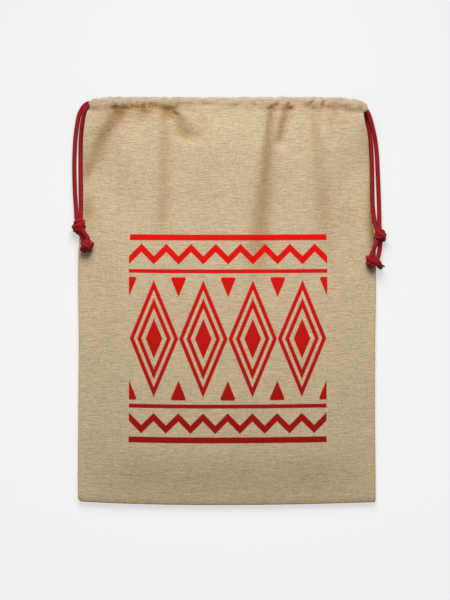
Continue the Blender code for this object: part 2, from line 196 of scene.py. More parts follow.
# the same, set off against the threads beside it
def crispTone(along, row, s, crisp):
    beside = threadTone(along, row + 1.0, s) + threadTone(along, row - 1.0, s)
    return threadTone(along, row, s) * (1.0 + 2.0 * crisp) - beside * crisp


def applyBump(wire, shader, height, strength, distance):
    values = {"Strength": strength, "Distance": distance, "Height": height}
    bump = wire.node("ShaderNodeBump", {}, values)
    wire.tree.links.new(bump.socket, shader.inputs["Normal"])


# the print, in millimetres: nested diamonds between zigzags and lines, mirrored about its middle
printSettings = {
    "middle": (1.0, 167.0), "halfWidth": 100.0, "halfHeight": 106.0, "soft": 0.5,
    # top and bottom: the print's red at its top and at its foot; the top's is lighter, which is
    # painted light
    "top": (0.66, 0.0012, 0.001, 1), "bottom": (0.26, 0.0008, 0.0008, 1),
    "lines": [(102.0, 3.0), (68.0, 2.0)],  # how far from the middle, and half the width
    "zigzag": {"at": 79.0, "half": 4.2, "step": 12.5},
    "diamond": {
        "wide": 25.0, "tall": 60.0, "band": 62.0, "rings": (0.90, 0.60), "half": 0.085,
        "core": 0.34, "between": 0.30, "soft": 0.012,
    },
}


def printMask(u, v, s):
    across = u - s["middle"][0]
    away = abs(v - s["middle"][1])
    soft = s["soft"]
    lines = [abs(away - at).under(half, soft) for at, half in s["lines"]]
    zigzag = abs(away - s["zigzag"]["at"] - across.math("PINGPONG", s["zigzag"]["step"]))
    # diamonds, and small wedges between them at the band's edges
    d = s["diamond"]
    beside = across.math("PINGPONG", d["wide"])
    inDiamond = (d["wide"] - beside) * (1 / d["wide"]) + away * (1 / d["tall"])
    inWedge = beside * (1 / d["wide"]) + abs(away - d["tall"]) * (1 / d["tall"])
    rings = [abs(inDiamond - ring).under(d["half"], d["soft"]) for ring in d["rings"]]
    core, wedge = inDiamond.under(d["core"], d["soft"]), inWedge.under(d["between"], d["soft"])
    band = core.union(wedge, *rings) * away.under(d["band"], soft)
    mask = lines[0].union(*lines[1:], zigzag.under(s["zigzag"]["half"], soft), band)
    return mask * abs(across).under(s["halfWidth"], soft)


# burlap, in millimetres. Each kind of thread has how much it darkens the cloth, how its tone
# stretches along it, and how far apart its rows lie in the noise
burlapSettings = {
    "warpPitch": 1.12, "weftPitch": 1.04, "wander": 2.0, "warpWander": 0.045, "weftWander": 0.035,
    # colour: the cloth's own; crease: the browner colour of the painted shade in folds and creases
    "colour": (0.50, 0.39, 0.24, 1), "crease": (0.26, 0.131, 0.038, 1),
    # rim: the greyer colour of the painted shade along the channel's rim
    "rim": (0.345, 0.288, 0.208, 1), "roughness": 0.92, "specular": 0.03, "bump": 0.45,
    "depth": 0.0004, "base": 0.90, "relief": 0.16, "inkBase": 0.93, "inkRelief": 0.10,
    "crisp": 0.30, "toneBump": 0.6, "slubFrom": 0.16,
    "weft": {"dark": 0.86, "stretch": 0.07, "gap": 7.31, "seed": 0.0, "noise": (5.0, 0.92)},
    "warp": {"dark": 0.36, "stretch": 0.12, "gap": 7.31, "seed": 40.0, "noise": (5.0, 0.92)},
    "fibre": {"dark": 0.85, "stretch": 0.10, "gap": 3.77, "seed": 91.0, "noise": (5.0, 0.92)},
    "slub": {"dark": 0.8, "stretch": 0.06, "gap": 3.17, "seed": 0.0, "noise": (1.0, 0.5)},
    "cloud": {"dark": 0.06, "scale": 0.022, "noise": (3.0, 0.6)},
}


def burlapMaterial(name, printed, s=burlapSettings):
    material, shader, wire = startMaterial(name, s["roughness"], specular=s["specular"])
    u, v, crease = attribute(wire, "flat").split()
    place = u.join(v)
    a = (u + (place.noise(s["warpWander"], 1.0) - 0.5) * s["wander"]) * (1 / s["warpPitch"])
    b = (v + (place.noise(s["weftWander"], 1.0) - 0.5) * s["wander"]) * (1 / s["weftPitch"])
    height = woven(a, b)
    # each thread has its own darkness, which changes slowly along it
    weft = crispTone(u, b.floor(), s["weft"], s["crisp"])
    warp = crispTone(v, a.floor(), s["warp"], s["crisp"])
    fibre = threadTone(u, (b * 2.0).floor(), s["fibre"])
    slub = (threadTone(u, b.floor(), s["slub"]) - s["slubFrom"]).math("MAXIMUM", 0.0)
    cloud = place.noise(s["cloud"]["scale"], *s["cloud"]["noise"]) - 0.5
    tone = weft * s["weft"]["dark"] + fibre * s["fibre"]["dark"] + warp * s["warp"]["dark"]
    tone = tone + cloud * s["cloud"]["dark"] - slub * s["slub"]["dark"] + 1.0
    # painted shade: the cloth is darker where its threads dip
    tone = tone * (height * s["relief"] + s["base"])
    # painted shade: greyer along the channel's rim
    rimShade = attribute(wire, "rimShade", "Fac").mixColour(s["colour"], s["rim"])
    # painted shade: browner in folds and creases, by the flat attribute's third value
    colour = tone.shade(crease.mixColour(rimShade, s["crease"]))
    if printed:
        ink = printMask(u, v, printSettings) * (height * s["inkRelief"] + s["inkBase"]).clip()
        # the print's red grows lighter towards its top: painted light
        half = printSettings["halfHeight"]
        rise = ((v - (printSettings["middle"][1] - half)) * (1 / (2 * half))).clip()
        red = rise.mixColour(printSettings["bottom"], printSettings["top"])
        colour = ink.mixColour(colour, red)
    wire.tree.links.new(colour.socket, shader.inputs["Base Color"])
    applyBump(wire, shader, height + tone * s["toneBump"], s["bump"], s["depth"])
    return material


# the cord: a braid with painted shade in its hollows, and faint streaks. Its pitch is in
# millimetres
cordSettings = {
    "strands": 6.0, "pitch": 1.35, "colour": (0.265, 0.0045, 0.007, 1), "roughness": 0.75,
    "sheen": 0.04, "specular": 0.15, "bump": 0.5, "depth": 0.0005, "base": 0.62, "relief": 0.55,
    "hollowShade": 0.72, "streak": 0.5, "streakScale": (3.0, 0.35),
}


def cordMaterial(s=cordSettings):
    material, shader, wire = startMaterial("redCord", s["roughness"], s["sheen"], s["specular"])
    cosine, sine, along = attribute(wire, "braid").split()
    turn = sine.math("ARCTAN2", cosine) * (s["strands"] / math.tau)
    a = turn + along * (1 / s["pitch"])
    b = turn - along * (1 / s["pitch"])
    height = woven(a, b)
    across, lengthwise = s["streakScale"]
    streak = (turn * across).join(along * lengthwise).noise(1.0, 2.0, 0.6) - 0.5
    # painted shade: darker where the braid dips, and by the knots' and strands' painted shade
    # attribute
    tone = height * s["relief"] + s["base"] + streak * s["streak"]
    tone = tone * (1.0 - attribute(wire, "hollowShade", "Fac") * s["hollowShade"])
    wire.tree.links.new(tone.shade(s["colour"]).socket, shader.inputs["Base Color"])
    applyBump(wire, shader, height, s["bump"], s["depth"])
    return material


# sewing thread and loose fibres
threadSettings = {"roughness": 0.8, "sheen": 0.1, "scale": 900.0, "uneven": 0.6, "base": 0.7}


def threadMaterial(name, colour, s=threadSettings):
    material, shader, wire = startMaterial(name, s["roughness"], s["sheen"])
    place = wire.node("ShaderNodeTexCoord", {}, {}, "Object")
    values = {"Vector": place, "Scale": s["scale"], "Detail": 2.0}
    tone = wire.node("ShaderNodeTexNoise", {}, values) * s["uneven"] + s["base"]
    wire.tree.links.new(tone.shade(colour).socket, shader.inputs["Base Color"])
    return material


plainBurlap = burlapMaterial("burlap", False)
printedBurlap = burlapMaterial("printedBurlap", True)
redCord = cordMaterial()
tanThread = threadMaterial("tanThread", (0.40, 0.30, 0.18, 1))
greyFibre = threadMaterial("greyFibre", (0.52, 0.46, 0.36, 1))
print("materials done")


def addObject(name, shape, material):
    mesh = bpy.data.meshes.new(name)
    shape.to_mesh(mesh)
    shape.free()
    mesh.shade_smooth()
    mesh.materials.append(material)
    thing = placeObject(name, mesh)
    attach(thing, "root")
    return thing


# a smooth curve through points, with a point every step millimetres, and its length
def smoothRoute(points, step, pieces=20):
    knots = [Vector(point) for point in points]
    knots = [2 * knots[0] - knots[1]] + knots + [2 * knots[-1] - knots[-2]]
    fine = []
    for before, start, end, after in zip(knots, knots[1:], knots[2:], knots[3:]):
        for k in range(pieces):
            t = k / pieces
            bend = 2 * before - 5 * start + 4 * end - after
            curl = 3 * start - 3 * end + after - before
            fine.append(start + 0.5 * t * (end - before + t * (bend + t * curl)))
    fine.append(knots[-2])
    lengths = [0.0]
    for a, b in zip(fine, fine[1:]):
        lengths.append(lengths[-1] + (b - a).length)
    at = np.linspace(0.0, lengths[-1], max(3, round(lengths[-1] / step)) + 1)
    axes = [np.interp(at, lengths, [point[axis] for point in fine]) for axis in range(3)]
    return [Vector(place) for place in zip(*axes)], lengths[-1]


# adds a round tube along points to the mesh, with the angle and the length for the braid
def addTube(shape, braid, points, radius, sides=16):
    side = Vector((0, 0, 1))
    along = 0.0
    rings = []
    for i, point in enumerate(points):
        before = points[max(i - 1, 0)]
        after = points[min(i + 1, len(points) - 1)]
        way = (after - before).normalized()
        side = (side - way * side.dot(way)).normalized()
        other = way.cross(side)
        along += (point - before).length
        ring = []
        for k in range(sides):
            angle = math.tau * k / sides
            out = side * math.cos(angle) + other * math.sin(angle)
            ring.append(shape.verts.new((point + out * radius) * mm))
            ring[-1][braid] = (math.cos(angle), math.sin(angle), along)
        rings.append(ring)
    for low, high in zip(rings, rings[1:]):
        for k in range(sides):
            shape.faces.new([low[k], low[(k + 1) % sides], high[(k + 1) % sides], high[k]])
    shape.faces.new(rings[0][::-1])
    shape.faces.new(rings[-1])


# a knot's painted shade: rays look how far its own cord hides the sky, and its hollows are painted
# that much darker. Below a height in y it gets more painted shade
hollowSettings = {"ways": 28, "turn": 2.39996, "reach": 9.0, "start": 0.15, "soft": 6.0}


def shadeHollows(shape, hollowShade, amount, below, s=hollowSettings):
    tree = BVHTree.FromBMesh(shape)
    shape.normal_update()
    ways = []
    for k in range(s["ways"]):
        z = (k + 0.5) / s["ways"]
        flat = math.sqrt(1 - z * z)
        ways.append(Vector((math.cos(k * s["turn"]) * flat, math.sin(k * s["turn"]) * flat, z)))
    for vertex in shape.verts:
        turn = vertex.normal.to_track_quat("Z", "Y")
        start = vertex.co + vertex.normal * s["start"] * mm
        hits = seen = 0.0
        for way in ways:
            distance = tree.ray_cast(start, turn @ way, s["reach"] * mm)[3]
            seen += way.z
            hits += way.z if distance is not None else 0.0
        low = ease((below - vertex.co.y / mm) / s["soft"]) * amount
        vertex[hollowShade] = min(hits / seen + low, 1.0)


def tubeObject(name, tubes, material, knotShade=None):
    shape = bmesh.new()
    braid = shape.verts.layers.float_vector.new("braid")
    hollowShade = shape.verts.layers.float.new("hollowShade")
    for tube in tubes:
        addTube(shape, braid, **tube)
    if knotShade:
        shadeHollows(shape, hollowShade, *knotShade)
    return addObject(name, shape, material)


# the free strands of the two drawcords; shade: how much painted shade they have where they
# start, and from which x inwards
cordRadius = 2.28  # a little over half, because the drawn tube has flat sides
strands = {
    "cordLeftFront": {
        "node": "cord_left_front", "shade": (0.5, 140.5),
        "carries": ["knotLeft", "tailLeftUpper", "tailLeftLower", "endKnotLeft"],
        "points": [
            (-125.7, 196.4, 12.5), (-131, 196.4, 12.4), (-135.5, 196.2, 12.2),
            (-138.7, 195.5, 11.6), (-141.2, 193.6, 10.9), (-142.9, 190.6, 9.9),
            (-144.2, 186.4, 8.7), (-145.7, 178.5, 6.2), (-147, 168, 3.7), (-147.6, 156, 2.5),
            (-147.7, 132, 2.5), (-147.5, 110, 2.5), (-147.3, 97, 2.6), (-147.4, 84, 4.5),
            (-148, 79, 6),
        ],
    },
    "cordLeftBack": {
        "node": "cord_left_back", "shade": (0.55, 143.5), "carries": [],
        "points": [
            (-125.7, 196.4, 3.7), (-129.5, 196.6, 3.7), (-133, 197.6, 3.7), (-136.2, 198.8, 3.8),
            (-139.5, 199.2, 3.9), (-142.6, 197.8, 3.8), (-145.4, 194.7, 3.5), (-147.8, 190.6, 3.1),
            (-149.5, 186.1, 2.8), (-151.1, 177.1, 2.5), (-152.6, 166, 2.5), (-153.6, 150, 2.5),
            (-153.9, 132, 2.5), (-153.3, 110, 2.5), (-152.4, 97, 2.7), (-151.6, 84, 4.2),
            (-150.6, 79, 5.4),
        ],
    },
    "cordRightFront": {
        "node": "cord_right_front", "shade": (0, 140),
        "carries": ["knotRight", "tailRightInner", "tailRightOuter", "endKnotRight"],
        "points": [
            (125.7, 199.84, 12.5), (130.6, 199.15, 12.3), (134.9, 197.7, 11.9),
            (138.2, 194.6, 11.1), (140.8, 190.6, 10.5), (143.3, 186, 9.6), (146, 177, 7.4),
            (148, 169, 5.1), (149.6, 160.5, 3.3), (150.9, 150, 2.5), (151.9, 132, 2.5),
            (152.8, 110, 2.5), (153.3, 94, 2.8), (153.5, 77.5, 5), (153.8, 70, 6.2),
        ],
    },
    "cordRightBack": {
        "node": "cord_right_back", "shade": (0.2, 140), "carries": [],
        "points": [
            (125.7, 199.84, 3.7), (130.6, 199.15, 3.7), (134.5, 197.6, 3.7), (137, 194.6, 3.7),
            (138.7, 190.2, 3.5), (140.2, 185.5, 3.1), (142, 177.5, 2.7), (143.5, 169, 2.5),
            (144.9, 160, 2.5), (145.7, 148, 2.5), (146.3, 130, 2.5), (146.6, 108, 2.5),
            (147.3, 92, 2.8), (149.3, 77.5, 4.9), (151.4, 69.5, 6),
        ],
    },
}
# the short tails between a knot and the end knot
tails = {
    "tailLeftUpper": {"node": "tail_left_upper", "points": [
        (-147, 73.6, 9), (-145.7, 71.2, 10.5), (-142.7, 67.2, 11.3), (-140.1, 63, 11.6),
        (-140.2, 58.5, 11.6),
    ]},
    "tailLeftLower": {"node": "tail_left_lower", "points": [
        (-148.7, 72, 7.2), (-148.6, 69, 7.5), (-146, 65, 7.7), (-143.2, 61.4, 8),
        (-141.8, 58.2, 9.4),
    ]},
    "tailRightInner": {"node": "tail_right_inner", "points": [
        (152.6, 62.8, 7.2), (151.3, 60, 7.7), (148.3, 53.2, 8.4), (145.6, 45.8, 8.7),
        (146, 42, 9.2),
    ]},
    "tailRightOuter": {"node": "tail_right_outer", "points": [
        (154.8, 62.5, 5.4), (154.6, 59, 4.7), (153.9, 52, 4), (152.2, 44, 5.4),
        (150, 41.4, 7.4),
    ]},
}


# a knot: tight turns of cord round the strands, fuller in the middle, with both ends tucked in
windSettings = {
    "perTurn": 26, "tucked": 0.25, "tuckTurns": 0.30, "core": 1.15, "bow": 0.96, "step": 0.8,
}


def knotTubes(s, wind=windSettings):
    middle = Vector(s["middle"])
    heading = math.radians(s["heading"])
    axis = Vector((math.cos(heading), math.sin(heading), s["rise"])).normalized()
    side = axis.cross(Vector((0, 0, 1))).normalized()
    up = side.cross(axis)
    wide, tall = s["wide"] - s["cord"], s["tall"] - s["cord"]
    count = round(wind["perTurn"] * s["turns"])
    points = []
    for k in range(count + 1):
        t = k / count
        a = math.tau * s["turns"] * t + math.radians(s["phase"])
        tuck = blend(wind["tucked"], 1.0, ease(min(t, 1 - t) * s["turns"] / wind["tuckTurns"]))
        full = tuck * (1 - s["taper"] * (2 * t - 1) ** 2)
        along = (t - 0.5) * s["length"] + s["slant"] * math.cos(a)
        out = side * (math.cos(a) * wide) + up * (math.sin(a) * tall)
        points.append(middle + axis * along + out * full)
    core = [middle + axis * (share * s["length"]) for share in (-0.5, -0.25, 0.0, 0.25, 0.5)]
    tubes = [
        {"points": points, "radius": s["cord"]},
        {"points": core, "radius": s["cord"] * wind["core"]},
    ]
    for bow in s["bows"]:
        route = smoothRoute([middle + Vector(point) for point in bow], wind["step"])[0]
        tubes.append({"points": route, "radius": s["cord"] * wind["bow"]})
    return tubes


# the turns lie round a line at this heading, in degrees, and bows are loops that pass over them;
# shade: how much painted shade it has for the cloth and floor beneath it, and below which y
knots = {
    "knotLeft": {
        "node": "knot_left", "middle": (-149.5, 75.2, 6.8), "heading": -66, "rise": -0.05,
        "turns": 3.1, "length": 11, "wide": 7.2, "tall": 5.8, "phase": 20, "taper": 0.22,
        "slant": 0.9, "cord": 2.25, "shade": (0.25, 72),
        "bows": [
            [(4.4, 5.4, 0.5), (4.8, 3.8, 3), (2.6, 0.6, 4.7), (1.4, -3.6, 3.8), (2, -6.6, 1.2)],
        ],
    },
    "endKnotLeft": {
        "node": "end_knot_left", "middle": (-141.5, 55.2, 11.3), "heading": -28, "rise": 0.05,
        "turns": 2.6, "length": 8.4, "wide": 7.4, "tall": 5.1, "phase": 75, "taper": 0.12,
        "slant": -0.8, "cord": 2.2, "shade": (0.55, 58.5),
        "bows": [
            [(-4.2, 3.4, 1), (-2.6, 1, 3.2), (0.8, -0.6, 3.9), (3.6, -3, 2.4), (3.4, -5, -0.6)],
        ],
    },
    "knotRight": {
        "node": "knot_right", "middle": (154.4, 65.6, 6.6), "heading": -100, "rise": 0.04,
        "turns": 2.4, "length": 7.4, "wide": 6.3, "tall": 5.7, "phase": 150, "taper": 0.12,
        "slant": 1.2, "cord": 2.2, "shade": (0, 60),
        "bows": [
            [(-4, 4.6, 0.6), (-1.6, 3.6, 3.6), (1.2, 0.6, 4.5), (3.6, -2.4, 3), (3, -4.6, 0.4)],
        ],
    },
    "endKnotRight": {
        "node": "end_knot_right", "middle": (145.6, 39.9, 10), "heading": -46, "rise": -0.02,
        "turns": 2.7, "length": 9.6, "wide": 7.2, "tall": 5, "phase": 10, "taper": 0.16,
        "slant": 0.9, "cord": 2.25, "shade": (0.2, 39),
        "bows": [
            [
                (-4.6, 4.4, 0.6), (-2.4, 2.2, 3.4), (0.6, 0, 3.9), (3.6, -1.4, 2.4), (6.4, -3.6, 0),
                (7.6, -6, -1.6),
            ],
            [(1, 2.6, 0.4), (3.4, 2, 1.4), (6, 0.4, 0.8), (7.9, -2.2, -0.6), (9, -4.8, -2)],
        ],
    },
}

# the cord's cut end, which has come undone
fraySettings = {
    "from": (154.4, 35.2, 8), "way": (0.40, -0.90, -0.22), "count": 44, "length": (1.4, 3.4),
    "radius": 0.36, "spread": 1.05, "open": 0.5, "bend": 0.5, "seed": 5,
}


def frayTubes(s):
    chance = np.random.default_rng(s["seed"])
    start, way = Vector(s["from"]), Vector(s["way"]).normalized()
    tubes = []
    for k in range(s["count"]):
        off = Vector(chance.normal(0, 1, 3))
        off = (off - way * off.dot(way)) * s["spread"]
        bend = Vector(chance.normal(0, 1, 3)) * s["bend"]
        long = chance.uniform(*s["length"])
        points = []
        for t in (0.0, 0.3, 0.6, 1.0):
            points.append(start + off * (1 + s["open"] * t) + way * (long * t) + bend * (t * t))
        tubes.append({"points": points, "radius": s["radius"], "sides": 6})
    return tubes


# painted shade: a strand is darker where it comes out of its channel
def shadeMouth(strand, amount, start, soft=5.0):
    hollowShade = strand.data.attributes["hollowShade"].data
    for vertex in strand.data.vertices:
        hollowShade[vertex.index].value = amount * ease((start - abs(vertex.co.x / mm)) / soft)


def makeCords():
    for name, s in knots.items():
        tubes = knotTubes(s)
        if name == "endKnotRight":
            tubes += frayTubes(fraySettings)
        tubeObject(name, tubes, redCord, knotShade=s["shade"])
        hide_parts(s["node"])
    for name, s in tails.items():
        route = smoothRoute(s["points"], 0.8)[0]
        tubeObject(name, [{"points": route, "radius": cordRadius}], redCord)
        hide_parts(s["node"])
    for name, s in strands.items():
        route, length = smoothRoute(s["points"], 1.2)
        strand = tubeObject(name, [{"points": route, "radius": cordRadius}], redCord)
        shadeMouth(strand, *s["shade"])
        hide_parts(s["node"])
        print(name, "%.1f mm" % length)


makeCords()
print("cords done")

# the cloth, in millimetres: the same shape as the model's two panels, with finer folds
cloth = {
    "halfWidth": 150, "rim": 205, "stitch": 191, "thick": 1, "layer": 1.3,
    "fold": 0.65, "proud": 0.5, "inset": 3, "allowance": (8, 5, 2.5), "cornerCut": 0.05,
    "leftCorner": (-202, 4.5), "rightCorner": (-203, 2.5),  # y and radius
    "footLow": -17, "footSink": 0.85, "bowLeft": (3.7, 133), "bowRight": (3, 167),
    "droopLeft": (1, 118, 20), "droopRight": (3, 110, 32),  # how far, from x, over
    "laneRadius": 3.05, "upperLane": 200.9, "lowerLane": 196.5, "backLane": 3.7, "backTop": 7.4,
    "mouthGap": (1.2, 4.8), "mouthEnd": 134, "mouthSlope": 48,
    "lift": 4.4, "sideLift": 3, "liftSlope": 40, "crownEnd": 199,
    "bulge": 0.9, "full": 0.55, "pinch": 1.3, "pinchMost": 1.3, "bulgeUp": 0.4,
    "hemTail": 4, "hemSag": 0.3, "hemEnd": 124,
    "edgeHeight": 4.4, "fullness": 6.2, "sideSlope": 60, "footSlope": 55,
    "riseFrom": (128, 76), "foldSide": 16, "foldTop": 6,
    "dipTop": 2.2, "dipLow": 3.9, "dipSlope": 26, "dipSide": (3, 12),
    "troughEnd": 0.35, "troughStart": 14,
    # the last two: where the painted shade along the rim starts, in y, and over how far
    "footRows": (2, 3.5), "firstRow": 0.014, "rimShadeFrom": 198.5, "rimShadeOver": 4,
}

# how far the left and the right side draw in at a height
edgeY, edgeLeft, edgeRight = zip(*(
    (-205, -0.2, 0.1), (-175, -0.5, 0.2), (-120, 0, 0.7), (-39, 0.7, 0.6), (15, 0, -0.3),
    (35, 0, -0.3), (50, 0.3, 0), (62, 1, 0.7), (71, 2.5, 1.9), (76, 3.4, 2.9), (80, 4, 3.4),
    (86, 4.8, 4.3), (92, 4.8, 5.05), (101, 4.8, 5.5), (108, 4.8, 5.8), (134, 4.6, 6.25),
    (150, 4.6, 6.9), (162, 4.9, 7.6), (170, 5.6, 8.9), (177, 6.5, 10.5), (186, 8.1, 12.3),
    (190.2, 9.2, 12.5), (192.5, 10.9, 12), (194.2, 11.9, 8.6), (196.2, 11.9, 8.5), (198.3, 11.2, 9),
    (201, 11, 10.1), (203, 12, 11.5), (205, 14.2, 14.5),
))

# folds that run down from the channel: x and y at the top, middle and low end, depth and widths.
# One with a negative depth is a swelling
Trough = namedtuple("Trough", "xTop yTop xMid yMid xLow yLow depth wideTop wideLow")
troughs = [
    Trough(-105, 192, -122, 165, -149, 108, 3.5, 8.5, 10),
    Trough(-62, 192, -63, 112, -65, 32, 2.3, 4.6, 9),
    Trough(-59, 192, -48.5, 180, -36, 155, 3.3, 5.5, 12),
    Trough(44.5, 192, 41, 124, 29, -8, 4.2, 3, 17),
    Trough(61.5, 192, 57, 176, 51, 148, 4, 4.6, 7),
    Trough(87, 192, 98, 110, 105, 8, 1.9, 5, 15),
    Trough(-20, 192, -22, 120, -24, 40, -1.2, 16, 22),
    Trough(68, 192, 70, 120, 68, 20, -1.2, 10, 18),
]

# creases where the channel is drawn together: place, lean to the rim, half width and height, depth.
# Each one's depth also sets its painted shade. The faint wide ones are mostly painted shade in the
# cloth, and a negative depth takes painted shade away
Crease = namedtuple("Crease", "x y lean wide tall deep")
creases = [Crease(*row) for row in (
    (-133, 195.8, 0, 2.6, 1.6, 0.5), (-88, 184, 0, 13, 7, 0.16), (-41, 170, -0.6, 9, 8, 0.20),
    (106, 185, 0, 8, 7, 0.16), (-119, 184, -0.6, 7, 7, 0.22), (-113.4, 195.8, 0.2, 3.4, 2.6, 0.9),
    (-108.7, 190.9, 0, 4.8, 1.5, 1), (-102.4, 196, 0.2, 3.2, 2, 0.8),
    (-96, 198.5, -0.4, 1.3, 3, 0.5), (-91.4, 195.2, 0, 3.2, 2.2, 0.7),
    (-84.8, 194.8, 0.3, 2.3, 3.4, 0.9), (-82, 191.2, 0, 4.2, 1.2, 0.6),
    (-77.5, 198, 0.4, 1.3, 3.2, 0.6), (-72.2, 197.3, 0, 5, 2.2, 0.6),
    (-63.9, 196.2, 0.3, 3.6, 3, 0.3), (-56.7, 194.2, 0, 4.6, 2, 1), (-51.1, 190, -1, 3.6, 1.8, 1),
    (-50, 198, 0.5, 1.3, 3.2, 0.7), (-45.6, 199, 0.5, 1.2, 2.6, 0.5),
    (-39.3, 199.2, 0, 4.2, 1.1, 0.45), (-20, 198.6, 0, 6.5, 0.9, 0.45), (-7, 194, 0.2, 2, 2, 0.25),
    (7.4, 197.4, 0, 5.2, 1.4, 0.6), (27.6, 197.9, -0.6, 2.4, 2.2, 0.45),
    (39.5, 194.6, 0, 3.4, 1, 0.45), (44, 196, 0.5, 2.2, 1.8, 0.9), (49.5, 198, 0.5, 1.9, 2.6, 0.9),
    (61.4, 198.6, 0.4, 1.5, 3.6, 0.85), (65, 195, 0, 3.8, 1.6, 0.9), (56, 193, 0, 5, 1.4, 0.4),
    (81.5, 197.7, 0.2, 3.8, 2.6, 0.65), (85.2, 200.5, 0.6, 1.3, 2.6, 0.9),
    (96.1, 198.8, 0.3, 1.4, 3.8, 1.1), (100.7, 196, 0, 4.2, 1.2, 0.7), (108, 194, 0, 3, 2.4, 0.25),
    (117.3, 196.9, 0, 5.2, 1.1, 0.35), (121.8, 194.2, 0, 3.6, 1.4, 0.4),
    (130.1, 194.2, 0, 4.2, 1.3, 0.2), (134.6, 197.7, 0.6, 1.8, 2, 0.4), (-140, 131, 0, 7, 11, 0.26),
    (-138, 86, 0, 6, 9, 0.15), (-27, 184, 0, 7, 7, 0.17), (117, 88, 0, 21, 23, 0.19),
    (-125, 172, -0.3, 10, 8, 0.27), (-106, 183.5, 0, 6.5, 8, 0.24), (-79.5, 191, 0, 4.5, 5, 0.28),
    (-24, 198, 0, 8, 4, 0.18), (-17, 181, 0, 6, 6, 0.14), (-27, 170, 0, 7, 6, 0.16),
    (114, 179, 0, 5, 4, 0.18), (-136, 90, 0, 10, 8, 0.14), (-133, 200.5, 0, 6, 3, 0.14),
    (57, 200.5, 0, 3, 4.5, -0.3), (131, 193, 0, 5, 2.5, -0.2),
)]


# how deep the cloth is drawn in here
def drawnIn(x, y, sink=1.2, reach=2.6):
    level = y + droop(x) + sink
    total = 0.0
    for crease in creases:
        up = level - crease.y
        lean = crease.lean * up
        if abs(up) < reach * crease.tall and abs(x - crease.x) < reach * crease.wide + abs(lean):
            across = (x - crease.x - lean) / crease.wide
            total += crease.deep * bell(across) * bell(up / crease.tall)
    return total


# how far a rounded corner draws the side in, at a height above the corner's start
def cornerInset(height, radius):
    if height >= radius:
        return 0.0
    rise = radius - max(height, 0.0)
    return radius - math.sqrt(radius * radius - rise * rise)


# the sack's left and right edge
def outline(y):
    (lowLeft, leftRadius), (lowRight, rightRadius) = cloth["leftCorner"], cloth["rightCorner"]
    left = float(np.interp(y, edgeY, edgeLeft)) + cornerInset(y - lowLeft, leftRadius)
    right = float(np.interp(y, edgeY, edgeRight)) + cornerInset(y - lowRight, rightRadius)
    return left - cloth["halfWidth"], cloth["halfWidth"] - right


# the foot's edge, which bows up towards both sides
def bottom(x):
    bow, reach = cloth["bowLeft"] if x < cloth["footLow"] else cloth["bowRight"]
    low = cloth["proud"] - cloth["rim"] - cloth["footSink"]
    return low + bow * ((x - cloth["footLow"]) / reach) ** 2


# how far the channel hangs down towards the sides
def droop(x):
    most, start, reach = cloth["droopLeft"] if x < 0 else cloth["droopRight"]
    return most * ease((abs(x) - start) / reach)


# the height of the cord's lane in the front channel, over the open mouth
def frontLane(x):
    low, high = cloth["mouthGap"]
    gap = blend(low, high, ease((cloth["mouthEnd"] - abs(x)) / cloth["mouthSlope"]))
    return cloth["backTop"] + gap + cloth["thick"] / 2 + cloth["laneRadius"]


def troughAt(trough, y):
    heights = [trough.yLow, trough.yMid, trough.yTop]
    return float(np.interp(y, heights, [trough.xLow, trough.xMid, trough.xTop]))


# uneven waves: their width and length, seed and height, how far below the channel they die out,
# and how they lean
Wave = namedtuple("Wave", "wide long seed high reach lean", defaults=(None, 0.0))
foldWaves = [
    Wave(34, 60, 3.1, 0.55), Wave(13, 22, 8.7, 0.22),
    Wave(5.2, 40, 5.3, 0.7, 20, 0.1), Wave(9, 70, 1.9, 0.8, 55),
]
bulgeWaves = [Wave(9, 30, 2.2, 0.6), Wave(3.2, 12, 6.4, 0.5)]
scallopWave = Wave(5.5, 1, 7.7, 1.2)


def waveAt(wave, x, y):
    return wave.high * noise.noise(Vector((x / wave.wide, y / wave.long, wave.seed)))


# small folds: the first two lie all over, and the others gather below the channel
def fineFolds(x, y, side, stitch):
    below = stitch - y
    total = 0.0
    for wave in foldWaves:
        fade = math.exp(-below / wave.reach) if wave.reach else 1.0
        total += waveAt(wave, x + below * wave.lean, y) * fade
    return total * ease(side / cloth["foldSide"]) * ease(below / cloth["foldTop"])


# how deep a trough is here, and how far to its side the place lies, in widths
def troughHere(trough, x, y):
    share = min(max((y - trough.yLow) / (trough.yTop - trough.yLow), 0.0), 1.0)
    wide = blend(trough.wideLow, trough.wideTop, share)
    start = cloth["troughStart"]
    fade = ease(share / cloth["troughEnd"]) * ease((trough.yTop + start - y) / start)
    return trough.depth * fade, (x - troughAt(trough, y)) / wide


# how far the troughs lower the cloth here
def dipAt(x, y):
    left, right = outline(y)
    side = min(x - left, right - x)
    total = 0.0
    for trough in troughs:
        deep, away = troughHere(trough, x, y)
        total += deep * bell(away)
    most = blend(cloth["dipTop"], cloth["dipLow"], ease((cloth["stitch"] - y) / cloth["dipSlope"]))
    start, over = cloth["dipSide"]
    return min(total, most) * ease((side - start) / over)


# how far the channel's foot stands above the cord's underside
def liftAt(x):
    inward = ease((cloth["mouthEnd"] - abs(x)) / cloth["liftSlope"])
    return blend(cloth["sideLift"], cloth["lift"], inward)


# how high the front cloth lies
def frontHeight(x, y, fine=True):
    left, right = outline(y)
    side = min(x - left, right - x)
    inside = ease(side / cloth["sideSlope"])
    upFoot = ease((y - bottom(x)) / cloth["footSlope"])
    height = cloth["edgeHeight"] + cloth["fullness"] * inside * upFoot
    stitch = cloth["stitch"] - droop(x)
    riseFrom = blend(*cloth["riseFrom"], inside)
    top = frontLane(x) - cloth["laneRadius"] + cloth["layer"] + liftAt(x)
    height = blend(height, top, ease((y - riseFrom) / (stitch - riseFrom))) - dipAt(x, y)
    return height + (fineFolds(x, y, side, stitch) if fine else 0.0)
